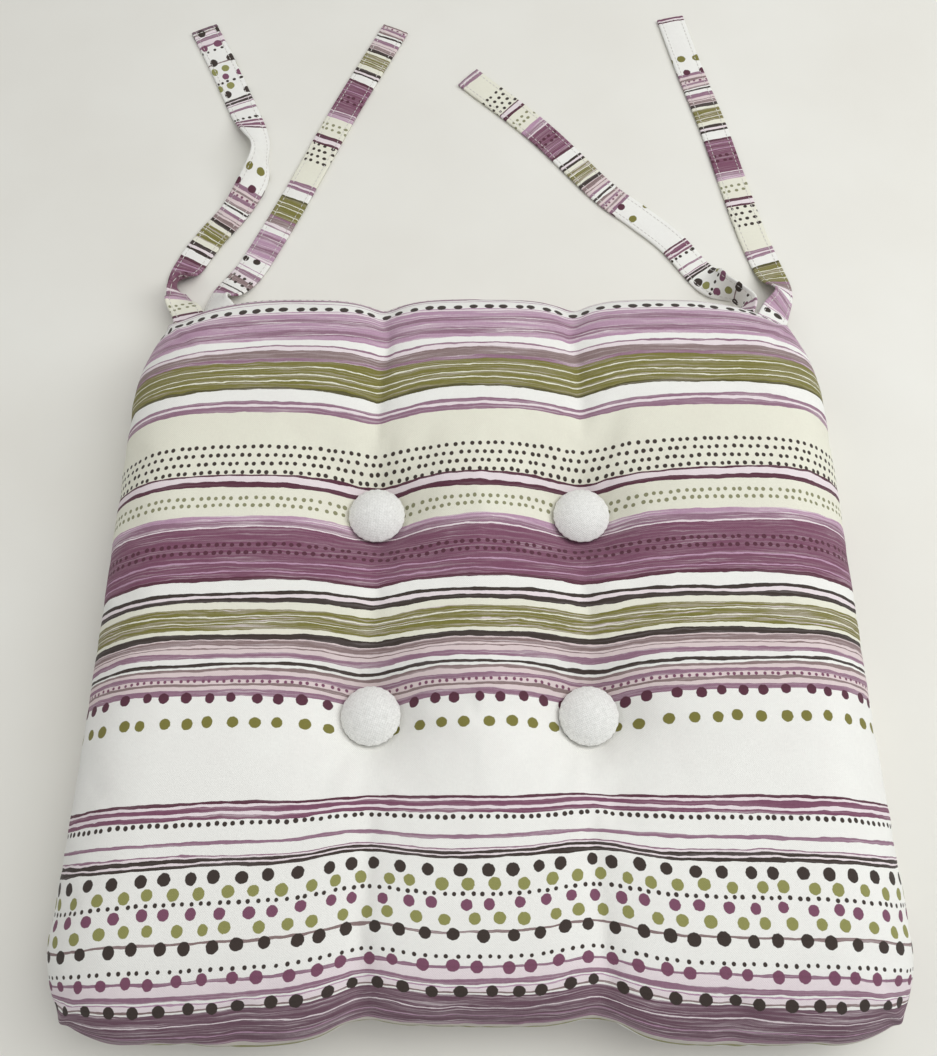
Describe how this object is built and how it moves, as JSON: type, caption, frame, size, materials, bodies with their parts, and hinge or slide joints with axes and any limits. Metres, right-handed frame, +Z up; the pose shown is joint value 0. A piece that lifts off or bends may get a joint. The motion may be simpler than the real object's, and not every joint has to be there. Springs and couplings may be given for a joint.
{
  "type": "chair seat pad",
  "caption": "Thick cushioned seat pad with a crowned, button-tufted top, rounded corners and flat cloth ties at its back corners.",
  "frame": {"origin": "middle of the flat underside, on the surface that the pad lies on", "axes": "+Z up through the crown, +Y towards the back edge with the ties, +X to the pad's right"},
  "size_m": [0.4, 0.6229, 0.0603],
  "materials": {
    "cover_print": "matte printed plain-weave cotton",
    "button_cloth": "matte plain-weave cotton",
    "thread": "matte polyester thread",
    "filling": "loose matte fibre",
    "twine": "waxed",
    "button_metal": "pressed, satin",
    "shank_wire": "drawn wire",
    "backing_plastic": "moulded, satin"
  },
  "bodies": {
    "root": {"top_panel": "cover_print", "bottom_panel": "cover_print", "seam_allowance": "cover_print", "seam_thread": "thread", "closing_stitches": "thread", "filling": "filling", "button_cloth_1": "button_cloth", "button_cloth_2": "button_cloth", "button_cloth_3": "button_cloth", "button_cloth_4": "button_cloth", "button_shell_1": "button_metal", "button_shell_2": "button_metal", "button_shell_3": "button_metal", "button_shell_4": "button_metal", "button_back_1": "button_metal", "button_back_2": "button_metal", "button_back_3": "button_metal", "button_back_4": "button_metal", "button_shank_1": "shank_wire", "button_shank_2": "shank_wire", "button_shank_3": "shank_wire", "button_shank_4": "shank_wire", "tuft_twine_1": "twine", "tuft_twine_2": "twine", "tuft_twine_3": "twine", "tuft_twine_4": "twine", "backing_button_1": "backing_plastic", "backing_button_2": "backing_plastic", "backing_button_3": "backing_plastic", "backing_button_4": "backing_plastic", "tie_end_left_outer": "cover_print", "tie_end_left_inner": "cover_print", "tie_end_right_inner": "cover_print", "tie_end_right_outer": "cover_print"},
    "left_outer_tie": {"tie_tail_left_outer": "cover_print", "tie_stitching_left_outer": "thread"},
    "left_inner_tie": {"tie_tail_left_inner": "cover_print", "tie_stitching_left_inner": "thread"},
    "right_inner_tie": {"tie_tail_right_inner": "cover_print", "tie_stitching_right_inner": "thread"},
    "right_outer_tie": {"tie_tail_right_outer": "cover_print", "tie_stitching_right_outer": "thread"}
  },
  "joints": [
    {"name": "left_outer_tie_fold", "type": "hinge", "parent": "root", "child": "left_outer_tie", "pos_m": [-0.165, 0.203, 0.022], "axis": [1, 0, 0], "range_deg": [-70, 90]},
    {"name": "left_inner_tie_fold", "type": "hinge", "parent": "root", "child": "left_inner_tie", "pos_m": [-0.145, 0.203, 0.022], "axis": [1, 0, 0], "range_deg": [-70, 90]},
    {"name": "right_inner_tie_fold", "type": "hinge", "parent": "root", "child": "right_inner_tie", "pos_m": [0.145, 0.203, 0.022], "axis": [1, 0, 0], "range_deg": [-70, 90]},
    {"name": "right_outer_tie_fold", "type": "hinge", "parent": "root", "child": "right_outer_tie", "pos_m": [0.165, 0.203, 0.022], "axis": [1, 0, 0], "range_deg": [-70, 90]}
  ]
}
